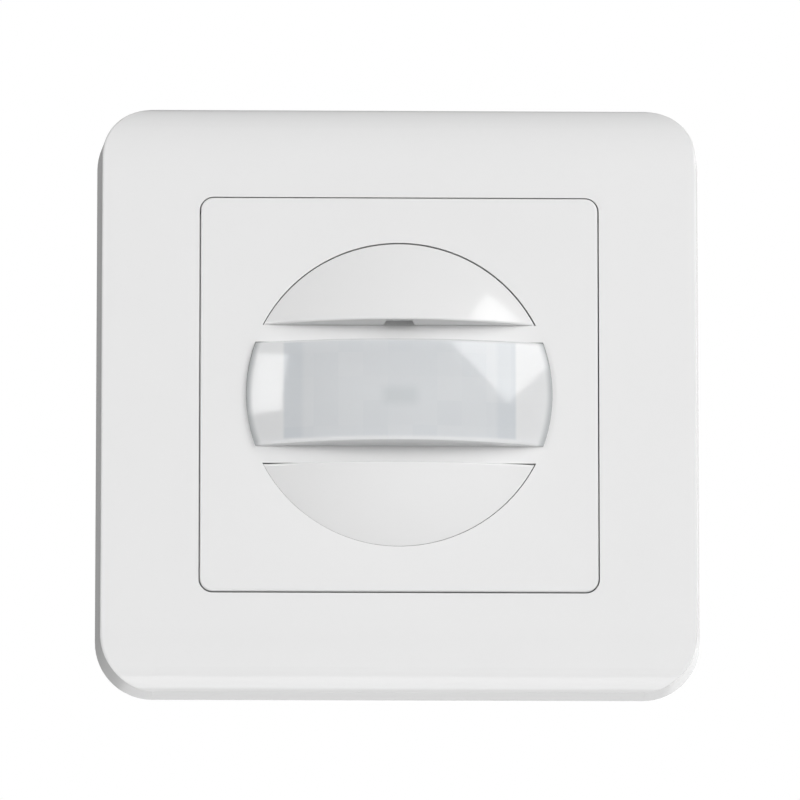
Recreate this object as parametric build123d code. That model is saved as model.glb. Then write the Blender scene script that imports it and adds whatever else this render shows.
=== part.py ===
from build123d import *
import os
from math import cos, radians, sin, sqrt

os.makedirs("parts", exist_ok=True)

# All sizes are in millimetres. X runs to the right, Z up, and -Y out of the wall towards the room.
# The origin is the centre of the mounting plane, on the wall's surface.
# Depths are distances ahead of the wall: positive in front of it, negative inside the wall box.

# Cover frame
frame_width = 84.0
frame_height = 82.5
frame_depth = 11.0
frame_corner = 8.0
frame_wall = 1.8
frame_edge = 0.35
side_draft = 4.4
flare_share = 0.9
brow_radius = 12.0
brow_angle = 30.0
shoulder_radius = 7.0
shoulder_angle = 85.0
well_wall = 1.4
ledge_width = 1.4
ledge_thickness = 1.2
pad_size = 5.0
pad_inset = 2.5

# Centre plate and the round dome that it carries
plate_size = 55.0
plate_corner = 1.8
plate_gap = 0.15
plate_wall = 1.6
plate_edge = 0.3
skirt_wall = 1.4
skirt_corner = 1.1
dome_diameter = 42.2
dome_height = 5.6
dome_draft = 2.0
bridge_width = 2.55
moon_gap = 0.12
moon_wall = 1.2
moon_edge = 0.25
pocket_wall = 0.9
panel_depth = 2.0
panel_wall = 1.2
panel_web = 0.9
guide_depth = 3.0
latch_offset = 12.0
latch_width = 4.0
latch_thickness = 1.0
latch_hook = 0.5

# Lens
lens_rise = 0.6
lens_wall = 0.9
lens_gap = 0.08
lens_edge = 0.45
lens_rim = 1.0
lens_rim_thickness = 1.0
facet_pitch = 3.4
facet_groove = 0.3
facet_depth = 0.12

# Lever notch and pegs of the settings cover
notch_width = 4.35
notch_top_width = 3.6
notch_height = 3.4
peg_radius = 0.9
peg_clearance = 0.06
peg_rise = 3.0

# Push button
button_travel = 0.6
button_skirt = 5.4
button_hook = 0.7
button_hook_width = 5.0
button_hook_offset = 12.25
boss_radius = 2.0
boss_height = 14.0

# Support strap
strap_side_margin = 4.7
strap_end_margin = 3.95
strap_corner = 5.0
strap_thickness = 1.0
window_clearance = 0.3
window_corner = 2.0
fixing_spacing = 60.0
fixing_hole_radius = 1.8
fixing_slot_travel = 3.0
strap_screw_radius = 1.1
strap_screw_length = 8.0
strap_screw_head_radius = 2.0
screw_head_height = 1.2
slot_width = 0.6
thread_clearance = 0.03

# Sensor carrier and board
carrier_clearance = 0.2
carrier_wall = 0.9
carrier_floor = 1.2
carrier_flange_thickness = 1.2
carrier_flange_front = 5.8
carrier_half_width = 20.4
tray_margin = 0.7
carrier_hook_offset = 14.0
carrier_hook_width = 4.0
carrier_hook_reach = 1.6
board_standoff = 1.2
board_thickness = 1.0
board_clearance = 0.3
board_boss_radius = 2.0
board_boss_offset = 16.6
board_boss_level = 4.2
board_screw_radius = 0.9
board_screw_head_radius = 1.7
board_screw_head_height = 1.1

# Infrared sensor
pir_base_radius = 4.55
pir_base_thickness = 0.8
pir_can_radius = 4.15
pir_can_wall = 0.3
pir_height = 4.2
pir_pin_radius = 0.22
pir_pin_circle = 2.54
pir_window_width = 4.7
pir_window_height = 3.6
pir_window_thickness = 0.4

# Small board parts
sight_radius = 1.5
sight_height = 3.0
sight_flange = 0.35
sight_flange_thickness = 0.7
sight_offset = 9.5
sight_level = 3.6
trimmer_size = 5.6
trimmer_height = 3.6
dial_radius = 2.6
dial_hole_clearance = 0.3
dial_gap = 0.4
dial_rim_gap = 0.366
dial_proud = 0.6
dial_slot_depth = 0.9
dial_stem_radius = 1.2
dial_stem_length = 2.0
running_clearance = 0.05
part_gap = 0.1
mode_body_width = 8.6
mode_body_height = 3.4
mode_body_depth = 3.2
mode_travel = 1.9
slider_width = 2.0
slider_height = 1.4
slider_root = 1.5
slider_proud = 0.8
slider_notch = 0.6
slider_notch_depth = 0.3
slider_clearance = 0.15
slider_gap = 0.6
tact_size = 6.2
tact_height = 3.5
tact_gap = 0.75
plunger_radius = 1.75
plunger_root = 1.0
plunger_proud = 1.5
chip_width = 5.0
chip_length = 8.6
chip_height = 1.4
chip_lead_width = 0.5
chip_lead_pitch = 1.27
chip_lead_reach = 1.0
chip_lead_count = 6
chip_offset = 13.4
chip_level = 4.5
can_capacitor_radius = 2.5
can_capacitor_height = 4.2
can_capacitor_base = 5.4
can_capacitor_foot = 0.8
can_capacitor_offset = 13.6

# Plug between the two boards
plug_width = 13.2
plug_height = 2.6
plug_level = 8.0
plug_reach = 0.4
pin_count = 5
pin_pitch = 2.54
pin_size = 0.6
pin_reach = 6.6
pin_clearance = 0.1
socket_wall = 0.35
socket_height = 8.6

# Power module
housing_boss_margin = 1.8
housing_half_width = 19.5
housing_depth = 25.4
housing_wall = 1.4
power_cover_thickness = 1.6
power_board_gap = 9.4
power_board_thickness = 1.6
housing_post_radius = 1.8
housing_post_x = 15.6
housing_post_low = 13.5
housing_post_high = 14.8
relay_width = 20.2
relay_height = 10.2
relay_depth = 12.0
relay_level = 13.6
relay_foot = 0.4
relay_edge = 0.4
relay_pin_inset = 1.6
film_width = 17.0
film_height = 7.0
film_depth = 11.0
film_edge = 0.4
film_x = -3.4
film_level = 3.4
storage_radius = 5.0
storage_depth = 12.2
storage_edge = 0.4
vent_width = 0.6
vent_depth = 0.3
storage_x = 11.2
storage_level = 3.2
choke_radius = 3.8
choke_flange = 1.2
choke_depth = 8.0
choke_winding_radius = 3.2
choke_core_radius = 1.6
choke_x = -12.4
choke_level = -5.4
varistor_radius = 4.4
varistor_thickness = 3.4
varistor_standoff = 1.2
varistor_edge = 0.6
varistor_level = -5.6
fuse_radius = 4.0
fuse_depth = 7.6
fuse_x = 12.4
fuse_gap = 0.4
rectifier_width = 8.4
rectifier_height = 6.4
rectifier_depth = 2.6
rectifier_level = 6.0
lead_radius = 0.3

# Terminals
terminal_count = 3
terminal_pitch = 7.6
terminal_wall = 1.4
terminal_inset = 4.6
terminal_block_height = 10.8
terminal_block_gap = 1.0
terminal_back_gap = 0.2
cage_width = 6.0
cage_depth = 6.6
cage_height = 5.6
cage_floor = 1.2
cage_roof = 0.8
cage_side = 0.8
cage_travel = 1.6
cage_clearance = 0.1
bar_width = 3.8
bar_thickness = 0.8
terminal_screw_radius = 1.45
terminal_head_radius = 2.5
terminal_head_height = 1.8
terminal_web = 0.6
wire_radius = 1.6

# Spreading claws
claw_pin_x = 22.4
claw_pin_depth = 3.2
claw_pin_radius = 0.8
claw_knuckle_radius = 1.8
claw_width = 12.0
claw_thickness = 1.2
claw_arm_length = 16.0
claw_lug_length = 7.9
claw_lug_angle = 15.0
claw_lug_slot = 4.0
claw_slot_clearance = 0.2
claw_tip_reach = 3.4
claw_tooth_count = 4
claw_tooth_depth = 0.8
claw_window_width = 5.8
claw_window_start = 2.2
claw_window_end = 9.0
claw_screw_x = 27.0
claw_screw_radius = 1.45
claw_screw_length = 10.0
claw_screw_head_radius = 2.6
claw_screw_head_height = 1.8
claw_nut_size = 5.0
claw_nut_thickness = 2.4
claw_nut_depth = 5.8
ear_thickness = 1.0
ear_gap = 0.3
ear_margin = 1.8

# One overrun serves every cut
overrun = 1.0

# Levels that follow, as distances ahead of the wall
plate_front = frame_depth
plate_back = plate_front - plate_wall
panel_front = plate_front - panel_depth
panel_back = panel_front - panel_wall
guide_end = plate_back - guide_depth
dome_radius = dome_diameter / 2

# Heights in the upper half-moon, worked down from the dome's rim: slider, dials, chord and lens
mode_level = dome_radius - moon_wall - slider_gap - slider_height / 2
slider_room = slider_height / 2 + slider_clearance + panel_web
trimmer_level = mode_level - slider_room - dial_hole_clearance - dial_radius
moon_chord = trimmer_level - dial_radius - dial_gap - moon_wall
lens_half_height = moon_chord - bridge_width
dial_reach = dome_radius - moon_wall - dial_rim_gap - dial_radius
trimmer_offset = sqrt(dial_reach ** 2 - trimmer_level ** 2)
peg_offset = trimmer_offset / 2
tact_level = moon_chord + moon_wall + tact_gap + tact_size / 2

# Sizes of what surrounds the sensor board, worked outward from it
carrier_half_height = mode_level + mode_body_height / 2 + tray_margin + carrier_wall
window_half_width = carrier_half_width + window_clearance
window_half_height = carrier_half_height + window_clearance
strap_screw_offset = window_half_height + strap_screw_head_radius
housing_radius = strap_screw_offset + housing_boss_margin
terminal_head_level = housing_radius - terminal_inset
fuse_level = terminal_block_height - terminal_head_level + fuse_gap + fuse_radius
strap_width = frame_width - 2 * (frame_wall + strap_side_margin)
strap_height = frame_height - 2 * (frame_wall + strap_end_margin)

# More levels, from the dome and the boards
ball_radius = (dome_radius ** 2 + dome_height ** 2) / (2 * dome_height)
ball_level = plate_front + dome_height - ball_radius
crest = plate_front + dome_height + lens_rise
flange_front = carrier_flange_front
opening_size = plate_size + 2 * plate_gap
board_back = carrier_floor + board_standoff
board_front = board_back + board_thickness
housing_front = -power_cover_thickness
housing_back = housing_front - housing_depth
power_board_front = housing_front - power_board_gap
power_board_back = power_board_front - power_board_thickness


# Shapes drawn in the front view and given a depth

def slab(outline, rear, front, taper=0):
    """A front-view outline between two distances ahead of the wall."""
    return extrude(Plane.XZ.offset(rear) * outline, amount=front - rear, taper=taper)


def rounded(width, height, corner):
    return RectangleRounded(width, height, corner)


def block(left, right, rear, front, bottom, top):
    outline = Pos((left + right) / 2, (bottom + top) / 2) * Rectangle(right - left, top - bottom)
    return slab(outline, rear, front)


def centred_block(x, z, width, height, rear, front):
    return slab(Pos(x, z) * Rectangle(width, height), rear, front)


def rod(x, z, radius, rear, front):
    return slab(Pos(x, z) * Circle(radius), rear, front)


def pillar(x, depth, radius, bottom, top):
    """A cylinder along Z, with its axis at a distance ahead of the wall."""
    return Pos(x, -depth, (bottom + top) / 2) * Cylinder(radius, top - bottom)


def half_moon(radius, chord, side):
    """A circle's segment beyond a chord: side 1 is the upper one, -1 the lower."""
    height = radius - chord
    return Circle(radius) & (Pos(0, side * (chord + height / 2)) * Rectangle(2 * radius, height))


def band(radius, half_height):
    return Circle(radius) & Rectangle(2 * radius, 2 * half_height)


def ball(rise=0, inset=0):
    """The ball whose cap is the dome."""
    return Pos(0, -(ball_level + rise), 0) * Sphere(ball_radius - inset)


def save(shape, name):
    shape.label = name
    export_step(shape, f"parts/{name}.step")


def join(pieces):
    """Separate equal pieces that share one node."""
    return Compound(children=list(pieces))


# Cover frame

def brow_profile(depth, half_height, brow, shoulder):
    """The frame's side view, flat in front and rolled back at the top and the bottom."""
    turn = shoulder_angle - brow_angle
    rolled = brow * sin(radians(brow_angle))
    rolled += shoulder * (sin(radians(shoulder_angle)) - sin(radians(brow_angle)))
    flat = half_height - rolled
    brow_arc = JernArc((-depth, flat), (0, 1), brow, -brow_angle)
    shoulder_arc = JernArc(brow_arc @ 1, brow_arc % 1, shoulder, -turn)
    edge = shoulder_arc @ 1
    front = Line((-depth, 0), (-depth, flat))
    side = Polyline((edge.X, edge.Y), (0, half_height), (0, 0), (-depth, 0))
    upper = make_face(Curve() + [front, brow_arc, shoulder_arc, side])
    return upper + mirror(upper, about=Plane.XZ)


def frame_body(inset):
    """The frame's outer form, or its hollow when inset by the wall."""
    width = frame_width - 2 * inset
    height = frame_height - 2 * inset
    depth = frame_depth - inset
    drafted = slab(rounded(width, height, frame_corner - inset), 0, depth, side_draft)
    profile = brow_profile(depth, height / 2, brow_radius - inset, shoulder_radius - inset)
    rolled = extrude(Plane.YZ * profile, amount=width / 2, both=True)
    return drafted & rolled


def side_rims(body):
    """The edges where the front and its rolled shoulders meet the flared sides."""
    front = [body.faces().sort_by(Axis.Y)[0], *body.faces().filter_by(GeomType.CYLINDER)]
    rims = []
    for face in front:
        for edge in face.edges():
            shared = sum(1 for other in front if any(edge.is_same(near) for near in other.edges()))
            if shared == 1 and abs((edge % 0.5).X) < flare_share:
                rims.append(edge)
    return rims


def cover_frame():
    outer = frame_body(0)
    outer = fillet(side_rims(outer), frame_edge)
    shell = outer - frame_body(frame_wall)
    corner = plate_corner + plate_gap
    ledge_back = flange_front - carrier_flange_thickness - ledge_thickness
    opening = rounded(opening_size, opening_size, corner)
    well_size = opening_size + 2 * well_wall
    well = slab(rounded(well_size, well_size, corner + well_wall), ledge_back, frame_depth - frame_wall)
    pad_place = opening_size / 2 + well_wall - pad_inset
    for x in (-pad_place, pad_place):
        for z in (-pad_place, pad_place):
            well += centred_block(x, z, pad_size, pad_size, strap_thickness, ledge_back)
    shell += well
    shell -= slab(opening, ledge_back + ledge_thickness, frame_depth + overrun)
    inner_size = opening_size - 2 * ledge_width
    return shell - slab(rounded(inner_size, inner_size, corner), -overrun, frame_depth)


# Centre plate

def dial_places():
    return [(-trimmer_offset, trimmer_level), (0, trimmer_level), (trimmer_offset, trimmer_level)]


def centre_plate():
    outline = rounded(plate_size, plate_size, plate_corner)
    inner = rounded(plate_size - 2 * skirt_wall, plate_size - 2 * skirt_wall, skirt_corner)
    plate = slab(outline, plate_back, plate_front)
    front = plate.faces().sort_by(Axis.Y)[0]
    plate = fillet(front.edges(), plate_edge)
    plate += slab(outline - inner, flange_front, plate_back)

    open_radius = dome_radius + moon_gap
    open_chord = moon_chord - moon_gap
    upper_wall = half_moon(open_radius + pocket_wall, open_chord - pocket_wall, 1)
    lower_wall = half_moon(open_radius + pocket_wall, open_chord - pocket_wall, -1)
    plate += slab(upper_wall, panel_back, plate_back)
    plate += slab(lower_wall, guide_end, plate_back)
    plate -= slab(half_moon(open_radius, open_chord, 1), panel_front, plate_front + overrun)
    plate -= slab(half_moon(open_radius, open_chord, -1), guide_end - overrun, plate_front + overrun)
    plate -= slab(band(dome_radius + lens_gap, lens_half_height + lens_gap), plate_back - overrun,
                  plate_front + overrun)

    for x, z in dial_places():
        plate -= rod(x, z, dial_radius + dial_hole_clearance, panel_back - overrun, panel_front + overrun)
    slot = slider_width + 2 * mode_travel + 2 * slider_clearance
    plate -= centred_block(0, mode_level, slot, slider_height + 2 * slider_clearance,
                           panel_back - overrun, panel_front + overrun)
    for x in (-peg_offset, peg_offset):
        plate -= rod(x, trimmer_level, peg_radius + peg_clearance,
                     panel_back - overrun, panel_front + overrun)
    return plate + plate_latches()


def latch_place():
    return plate_size / 2 - skirt_wall - ledge_width - latch_thickness / 2


def plate_latches():
    """Four arms that pass the carrier's flange and hook behind it."""
    hook_front = flange_front - carrier_flange_thickness - part_gap
    hook_back = hook_front - latch_thickness
    arms = Part()
    for side in (-1, 1):
        x = side * latch_place()
        for z in (-latch_offset, latch_offset):
            arms += centred_block(x, z, latch_thickness, latch_width, hook_back, plate_back)
            hook_x = side * (latch_place() - (latch_thickness + latch_hook) / 2)
            arms += centred_block(hook_x, z, latch_hook, latch_width, hook_back, hook_front)
    return arms


# Lens band

def fresnel_lens():
    outline = band(dome_radius, lens_half_height)
    domed = slab(outline, plate_front, crest + overrun, dome_draft) & ball(lens_rise)
    domed = fillet(domed.faces().sort_by(Axis.Y)[0].edges(), lens_edge)
    lens = domed + slab(outline, plate_back, plate_front)
    rim = band(dome_radius + lens_rim, lens_half_height + lens_rim)
    lens += slab(rim, plate_back - lens_rim_thickness, plate_back)
    hollow_outline = band(dome_radius - lens_wall, lens_half_height - lens_wall)
    hollow = slab(hollow_outline, plate_back - lens_rim_thickness - overrun, crest, dome_draft)
    lens -= hollow & ball(lens_rise, lens_wall)
    return lens - facet_grooves()


def facet_grooves():
    """Shallow grooves between the facets, on the lens's inner face."""
    shell = ball(lens_rise, lens_wall - facet_depth) - ball(lens_rise, lens_wall + overrun)
    half_height = lens_half_height - 2 * lens_wall
    reach = dome_radius - 4 * lens_wall
    columns = int(reach / facet_pitch)
    grooves = Part()
    for column in range(-columns, columns + 1):
        x = column * facet_pitch
        grooves += centred_block(x, 0, facet_groove, 2 * half_height, plate_front, crest)
    for z in (-half_height / 3, half_height / 3):
        grooves += centred_block(0, z, 2 * reach, facet_groove, plate_front, crest)
    return grooves & shell


# Settings cover

def domed_moon(side, skirt_level):
    """A domed half-moon shell with a skirt down to a level, solid at its edges only."""
    outline = half_moon(dome_radius, moon_chord, side)
    inner = half_moon(dome_radius - moon_wall, moon_chord + moon_wall, side)
    domed = slab(outline, plate_front, crest, dome_draft) & ball()
    cap_face = domed.faces().sort_by(Axis.Y)[0]
    chord_edge = cap_face.edges().sort_by(Axis.Z)[0 if side > 0 else -1]
    domed = fillet([chord_edge], moon_edge)
    shell = domed + slab(outline, skirt_level, plate_front)
    hollow = slab(inner, skirt_level - overrun, crest) & ball(0, moon_wall)
    return shell - hollow


def settings_cover():
    cover = domed_moon(1, panel_front)
    pegs = Part()
    for x in (-peg_offset, peg_offset):
        pegs += rod(x, trimmer_level, peg_radius, panel_back, plate_front + peg_rise)
    cover += pegs & ball(0, moon_wall / 2)
    points = [(-notch_width / 2, -plate_front), (notch_width / 2, -plate_front),
              (notch_top_width / 2, -plate_front - notch_height),
              (-notch_top_width / 2, -plate_front - notch_height)]
    notch = extrude(Plane.XY.offset(moon_chord - overrun) * make_face(Polyline(*points, close=True)),
                    amount=moon_wall + overrun + part_gap)
    return cover - notch


# Push button

def manual_button():
    button = domed_moon(-1, guide_end + part_gap)
    hook_back = button_skirt
    hook_front = guide_end - part_gap
    chord = -(moon_chord + moon_wall / 2)
    hooks = Part()
    for side in (-1, 1):
        x = side * button_hook_offset
        hooks += block(x - button_hook_width / 2, x + button_hook_width / 2, hook_back, hook_front,
                       chord - moon_wall / 2, chord + moon_wall / 2 + button_hook)
        hooks += block(x - button_hook_width / 2, x + button_hook_width / 2, hook_back,
                       plate_back, chord - moon_wall / 2, chord + moon_wall / 2)
    low = -dome_radius
    hooks += block(-button_hook_width / 2, button_hook_width / 2, hook_back, plate_back,
                   low + moon_gap, low + moon_wall)
    hooks += block(-button_hook_width / 2, button_hook_width / 2, hook_back, hook_front,
                   low - button_hook, low + moon_wall)
    button += hooks
    plunger_front = board_front + tact_height + plunger_proud
    boss = rod(0, -tact_level, boss_radius, plunger_front + part_gap, boss_height)
    return button + (boss & ball(0, moon_wall / 2))


# Sensor carrier

def sensor_carrier():
    flange_size = plate_size - 2 * carrier_clearance
    tray_corner = window_corner - carrier_clearance
    tray_outline = rounded(2 * carrier_half_width, 2 * carrier_half_height, tray_corner)
    flange_back = flange_front - carrier_flange_thickness
    inner = Rectangle(2 * (carrier_half_width - carrier_wall), 2 * (carrier_half_height - carrier_wall))
    carrier = slab(rounded(flange_size, flange_size, plate_corner), flange_back, flange_front)
    carrier += slab(tray_outline, 0, flange_front)
    carrier -= slab(inner, carrier_floor, flange_front + overrun)
    for x in (-board_boss_offset, board_boss_offset):
        carrier += rod(x, board_boss_level, board_boss_radius, carrier_floor, board_back)
        carrier -= rod(x, board_boss_level, board_screw_radius + thread_clearance,
                       -overrun, flange_front)
    rest = board_boss_radius
    for x in (-board_boss_offset, board_boss_offset):
        for z in (-board_boss_offset, board_boss_offset):
            carrier += centred_block(x, z, rest, rest, carrier_floor, board_back)
    opening_width = plug_width + 2 * board_clearance
    opening_height = plug_height + 2 * board_clearance
    carrier -= centred_block(0, -plug_level, opening_width, opening_height,
                             -overrun, carrier_floor + overrun)
    hook_low = dome_radius + button_hook + board_clearance
    half_width = button_hook_width / 2 + board_clearance
    carrier -= block(-half_width, half_width, button_skirt - button_travel - board_clearance,
                     flange_front + overrun, -hook_low, -carrier_half_height + 2 * carrier_wall)
    latch_slot = latch_thickness + latch_hook + 2 * board_clearance
    for side in (-1, 1):
        slot_x = side * (latch_place() - latch_hook / 2)
        for z in (-latch_offset, latch_offset):
            carrier -= centred_block(slot_x, z, latch_slot, latch_width + 2 * board_clearance,
                                     flange_back - overrun, flange_front + overrun)
    return carrier + carrier_hooks()


def carrier_hooks():
    """Four legs that pass the strap's window and hook behind it."""
    hooks = Part()
    outer = carrier_half_width
    for side in (-1, 1):
        for z in (-carrier_hook_offset, carrier_hook_offset):
            inside = side * (outer - carrier_wall / 2)
            hooks += centred_block(inside, z, carrier_wall, carrier_hook_width,
                                   -carrier_hook_reach, carrier_floor)
            tip = side * (outer + carrier_wall / 2)
            hooks += centred_block(tip, z, carrier_wall, carrier_hook_width,
                                   -carrier_hook_reach, -part_gap)
    return hooks


def sensor_board():
    width = 2 * (carrier_half_width - carrier_wall - board_clearance)
    height = 2 * (carrier_half_height - carrier_wall - board_clearance)
    board = centred_block(0, 0, width, height, board_back, board_front)
    for x in (-board_boss_offset, board_boss_offset):
        board -= rod(x, board_boss_level, board_screw_radius + thread_clearance,
                     board_back - overrun, board_front + overrun)
    return board


def slotted_head(x, z, radius, rear, height):
    """A round screw head with a straight slot, its top towards the room."""
    head = rod(x, z, radius, rear, rear + height)
    return head - centred_block(x, z, 2 * radius + overrun, slot_width,
                                rear + height / 2, rear + height + overrun)


def carrier_screws():
    screws = []
    for x in (-board_boss_offset, board_boss_offset):
        shank = rod(x, board_boss_level, board_screw_radius, 0, board_front)
        head = slotted_head(x, board_boss_level, board_screw_head_radius,
                            board_front, board_screw_head_height)
        screws.append(shank + head)
    return join(screws)


# Infrared sensor at the lens's centre

def pir_base():
    base = rod(0, 0, pir_base_radius, board_front, board_front + pir_base_thickness)
    for angle in (0, 90, 180):
        x = pir_pin_circle * cos(radians(angle))
        z = pir_pin_circle * sin(radians(angle))
        base += rod(x, z, pir_pin_radius, board_front + pir_base_thickness / 2,
                    board_front + 2 * pir_base_thickness)
    return base


def pir_can():
    rear = board_front + pir_base_thickness
    front = board_front + pir_height
    can = rod(0, 0, pir_can_radius, rear, front)
    can -= rod(0, 0, pir_can_radius - pir_can_wall, rear - overrun, front - pir_can_wall)
    return can - centred_block(0, 0, pir_window_width, pir_window_height, rear, front + overrun)


def pir_window():
    front = board_front + pir_height - pir_can_wall
    width = pir_window_width + 2 * pir_can_wall
    height = pir_window_height + 2 * pir_can_wall
    return centred_block(0, 0, width, height, front - pir_window_thickness, front)


# Parts on the sensor board

def domed_sight(x):
    """A clear round-topped body on a small flange."""
    top = board_front + sight_height - sight_radius
    body = rod(x, sight_level, sight_radius, board_front, top)
    body += Pos(x, -top, sight_level) * Sphere(sight_radius)
    flange_end = board_front + sight_flange_thickness
    return body + rod(x, sight_level, sight_radius + sight_flange, board_front, flange_end)


def trimmer_body(x, z):
    front = board_front + trimmer_height
    body = centred_block(x, z, trimmer_size, trimmer_size, board_front, front)
    bore = dial_stem_radius + running_clearance
    return body - rod(x, z, bore, front - dial_stem_length - part_gap, front + overrun)


def trimmer_dial(x, z):
    front = panel_front + dial_proud
    rear = board_front + trimmer_height + part_gap
    dial = rod(x, z, dial_radius, rear, front) + rod(x, z, dial_stem_radius, rear - dial_stem_length, rear)
    arm = 2 * dial_radius * cos(radians(45))
    dial -= centred_block(x, z, arm, slot_width, front - dial_slot_depth, front + overrun)
    dial -= centred_block(x, z, slot_width, arm, front - dial_slot_depth, front + overrun)
    pointer = slot_width / 2
    return dial - centred_block(x, z + dial_radius, pointer, arm / 2, front - pointer, front + overrun)


def mode_switch_body():
    front = board_front + mode_body_depth
    body = centred_block(0, mode_level, mode_body_width, mode_body_height, board_front, front)
    channel = slider_width + 2 * mode_travel + 2 * slider_clearance
    return body - centred_block(0, mode_level, channel, slider_height + 2 * slider_clearance,
                                front - slider_root - part_gap, front + overrun)


def mode_slider():
    rear = board_front + mode_body_depth - slider_root
    front = panel_front + slider_proud
    slider = centred_block(0, mode_level, slider_width, slider_height, rear, front)
    return slider - centred_block(0, mode_level, slider_notch, slider_height + overrun,
                                  front - slider_notch_depth, front + overrun)


def tact_switch_body():
    front = board_front + tact_height
    body = centred_block(0, -tact_level, tact_size, tact_size, board_front, front)
    depth = plunger_root + button_travel + part_gap
    return body - rod(0, -tact_level, plunger_radius + part_gap, front - depth, front + overrun)


def tact_plunger():
    front = board_front + tact_height
    return rod(0, -tact_level, plunger_radius, front - plunger_root, front + plunger_proud)


def controller_chip():
    chip = centred_block(-chip_offset, -chip_level, chip_width, chip_length,
                         board_front + part_gap, board_front + chip_height)
    for row in range(chip_lead_count):
        z = -chip_level + (row - (chip_lead_count - 1) / 2) * chip_lead_pitch
        width = chip_width + 2 * chip_lead_reach
        chip += centred_block(-chip_offset, z, width, chip_lead_width, board_front,
                              board_front + chip_lead_width)
    return chip


def filter_capacitor():
    level = -chip_level
    x = can_capacitor_offset
    foot = board_front + can_capacitor_foot
    base = centred_block(x, level, can_capacitor_base, can_capacitor_base, board_front, foot)
    return base + rod(x, level, can_capacitor_radius, foot, board_front + can_capacitor_height)


def pin_places():
    return [(index - (pin_count - 1) / 2) * pin_pitch for index in range(pin_count)]


def board_plug():
    plug = centred_block(0, -plug_level, plug_width, plug_height, -plug_reach, board_back)
    for x in pin_places():
        plug -= centred_block(x, -plug_level, pin_size, pin_size,
                              -plug_reach - overrun, board_back + overrun)
    return plug


def plug_pins():
    return join([centred_block(x, -plug_level, pin_size, pin_size, -plug_reach - pin_reach, board_back)
                 for x in pin_places()])


# Support strap

def ear_shape(side, end):
    """One bent-back ear that holds an end of a claw's pin."""
    inner = claw_width / 2 + ear_gap
    bottom, top = (inner, inner + ear_thickness) if end > 0 else (-inner - ear_thickness, -inner)
    x = side * claw_pin_x
    rear = -claw_pin_depth - ear_margin
    left, right = x - ear_margin + part_gap, x + ear_margin - part_gap
    ear = block(left, right, rear, 0, bottom, top)
    bore = claw_pin_radius + thread_clearance
    return ear - pillar(x, -claw_pin_depth, bore, bottom - overrun, top + overrun)


def support_strap():
    outline = rounded(strap_width, strap_height, strap_corner)
    outline -= rounded(2 * window_half_width, 2 * window_half_height, window_corner)
    for side in (-1, 1):
        slot = SlotCenterToCenter(fixing_slot_travel, 2 * fixing_hole_radius, rotation=90)
        outline -= Pos(0, side * fixing_spacing / 2) * slot
        outline -= Pos(0, side * strap_screw_offset) * Circle(strap_screw_radius + thread_clearance)
        outline -= Pos(side * claw_screw_x, 0) * Circle(claw_screw_radius + part_gap)
    strap = slab(outline, 0, strap_thickness)
    for side in (-1, 1):
        for end in (-1, 1):
            strap += ear_shape(side, end)
    return strap


def strap_screws():
    screws = []
    for side in (-1, 1):
        z = side * strap_screw_offset
        shank = rod(0, z, strap_screw_radius, strap_thickness - strap_screw_length, strap_thickness)
        head = slotted_head(0, z, strap_screw_head_radius, strap_thickness, screw_head_height)
        screws.append(shank + head)
    return join(screws)


# Spreading claws

def claw_pins():
    reach = claw_width / 2 + ear_gap + ear_thickness
    return join([pillar(side * claw_pin_x, -claw_pin_depth, claw_pin_radius, -reach, reach)
                 for side in (-1, 1)])


def right_claw():
    """A bell crank: the lug is drawn forward by its nut, and the arm swings outward."""
    half = claw_width / 2
    thin = claw_thickness / 2
    pivot = -claw_pin_depth
    tip = pivot - claw_arm_length
    claw = pillar(claw_pin_x, pivot, claw_knuckle_radius, -half, half)
    arm = block(claw_pin_x - thin, claw_pin_x + thin, tip, pivot, -half, half)
    claw += arm
    claw += block(claw_pin_x, claw_pin_x + claw_tip_reach, tip, tip + claw_thickness, -half, half)
    lug_place = Pos(claw_pin_x, claw_pin_depth, 0) * Rot(0, 0, claw_lug_angle)
    claw += lug_place * Pos(claw_lug_length / 2, 0, 0) * Box(claw_lug_length, claw_thickness, claw_width)

    window = claw_window_width / 2
    claw -= block(claw_pin_x - claw_knuckle_radius, claw_pin_x + claw_thickness,
                  pivot - claw_window_end, pivot - claw_window_start, -window, window)
    slot_place = (claw_screw_x - claw_pin_x) / cos(radians(claw_lug_angle / 2))
    slot = Box(claw_lug_slot, claw_thickness + overrun, 2 * (claw_screw_radius + claw_slot_clearance))
    claw -= lug_place * Pos(slot_place, 0, 0) * slot
    claw -= pillar(claw_pin_x, pivot, claw_pin_radius + running_clearance, -claw_width, claw_width)
    return claw - claw_teeth(tip)


def claw_teeth(tip):
    """Notches that leave pointed teeth along the claw's outer end."""
    pitch = claw_width / claw_tooth_count
    notches = Part()
    for index in range(claw_tooth_count + 1):
        z = (index - claw_tooth_count / 2) * pitch
        end = claw_pin_x + claw_tip_reach
        points = [(end, z - pitch / 2), (end, z + pitch / 2), (end - claw_tooth_depth, z)]
        notches += slab(make_face(Polyline(*points, close=True)), tip - overrun, tip + claw_thickness + overrun)
    return notches


def right_claw_screw():
    tip = strap_thickness - claw_screw_length
    shank = rod(claw_screw_x, 0, claw_screw_radius, tip, strap_thickness)
    head = slotted_head(claw_screw_x, 0, claw_screw_head_radius, strap_thickness, claw_screw_head_height)
    return shank + head


def right_claw_nut():
    rear = -claw_nut_depth - claw_nut_thickness
    nut = centred_block(claw_screw_x, 0, claw_nut_size, claw_nut_size, rear, -claw_nut_depth)
    return nut - rod(claw_screw_x, 0, claw_screw_radius + running_clearance, rear - overrun, overrun)


# Power module in the wall box

def module_outline(inset=0):
    radius = housing_radius - inset
    return Circle(radius) & Rectangle(2 * (housing_half_width - inset), 2 * radius)


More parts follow.
